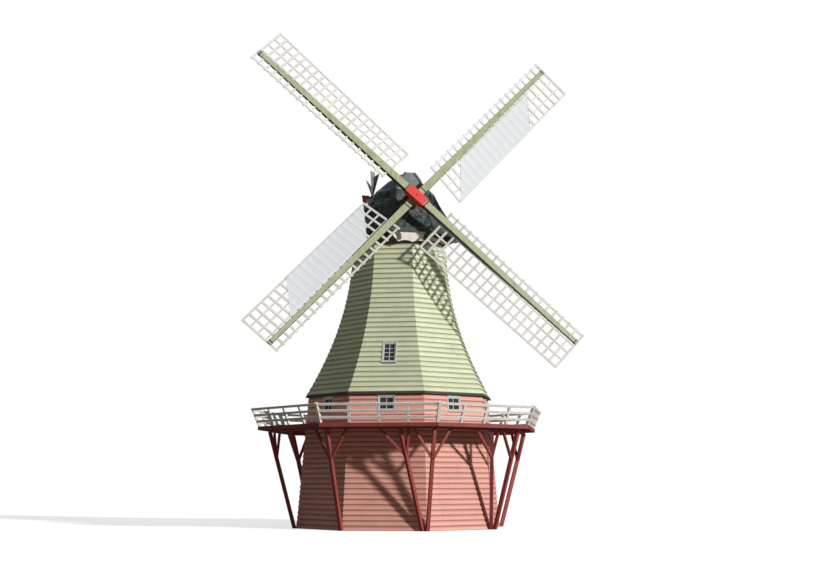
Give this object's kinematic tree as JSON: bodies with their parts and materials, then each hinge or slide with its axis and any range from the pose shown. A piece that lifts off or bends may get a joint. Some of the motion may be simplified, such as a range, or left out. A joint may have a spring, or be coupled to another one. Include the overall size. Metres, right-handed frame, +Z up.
{
  "type": "traditional windmill",
  "caption": "Octagonal wooden smock windmill with a raised gallery, a turning cap, lattice sails with canvas and a fantail.",
  "frame": {"origin": "on the tower's vertical axis at ground level", "axes": "+Z up, -Y the side that the windshaft's nose faces at rest, corners of the octagon on X and Y"},
  "size_m": [18.7058, 16.8156, 26.704],
  "materials": {
    "base_boards": "red painted weatherboards",
    "smock_boards": "pale green painted weatherboards",
    "window_paint": "white paint",
    "window_glass": "dark panes",
    "floor_boards": "bare boards",
    "deck_boards": "red painted boards",
    "gallery_paint": "dark red paint",
    "rail_paint": "white paint",
    "cap_timber": "dark oiled timber",
    "pale_board": "cream paint",
    "bracket_paint": "dark olive paint",
    "cap_shingles": "dark green black shingles",
    "shaft_iron": "black iron",
    "canister_paint": "bright red paint",
    "stock_paint": "sage green paint",
    "lattice_paint": "white paint",
    "sail_canvas": "white canvas",
    "fan_post_paint": "red paint",
    "fan_blade_paint": "pale grey paint"
  },
  "bodies": {
    "tower": {"base_walls_1": "base_boards", "base_walls_2": "base_boards", "base_walls_3": "base_boards", "base_walls_4": "base_boards", "curb": "cap_timber", "gallery_bearers": "gallery_paint", "gallery_deck": "deck_boards", "gallery_fascia": "gallery_paint", "gallery_floor": "floor_boards", "gallery_joists": "gallery_paint", "gallery_side_struts": "gallery_paint", "gallery_struts": "gallery_paint", "railing_corner_posts": "rail_paint", "railings_1": "rail_paint", "railings_2": "rail_paint", "railings_3": "rail_paint", "railings_4": "rail_paint", "smock_floor": "floor_boards", "smock_sides_1": "smock_boards", "smock_sides_2": "smock_boards", "smock_sides_3": "smock_boards", "smock_sides_4": "smock_boards", "window_frames": "window_paint", "window_panes": "window_glass"},
    "cap": {"cap_brackets": "bracket_paint", "cap_frame": "cap_timber", "cap_front": "cap_shingles", "cap_front_board": "pale_board", "cap_ring": "cap_timber", "cap_side_left": "cap_shingles", "cap_side_right": "cap_shingles", "fan_posts": "fan_post_paint", "neck_bearing": "cap_timber", "tail_bearing": "cap_timber", "weather_beam": "cap_timber"},
    "sails": {"canister": "canister_paint", "inner_stock": "stock_paint", "outer_stock": "stock_paint", "sail_1": "lattice_paint", "sail_2": "lattice_paint", "sail_3": "lattice_paint", "sail_4": "lattice_paint", "sail_cloth_1": "sail_canvas", "sail_cloth_3": "sail_canvas", "windshaft": "shaft_iron"},
    "fan": {"fan_shaft": "shaft_iron", "fan_wheel": "fan_blade_paint"}
  },
  "joints": [
    {"name": "cap_turn", "type": "hinge", "parent": "tower", "child": "cap", "pos_m": [0, 0, 15.425], "axis": [0, 0, 1], "continuous": true},
    {"name": "sails_turn", "type": "hinge", "parent": "cap", "child": "sails", "pos_m": [0, -3.4, 17.55], "axis": [0, -0.9781, 0.2079], "continuous": true},
    {"name": "fan_turn", "type": "hinge", "parent": "cap", "child": "fan", "pos_m": [0, 7, 19.65], "axis": [1, 0, 0], "continuous": true}
  ]
}
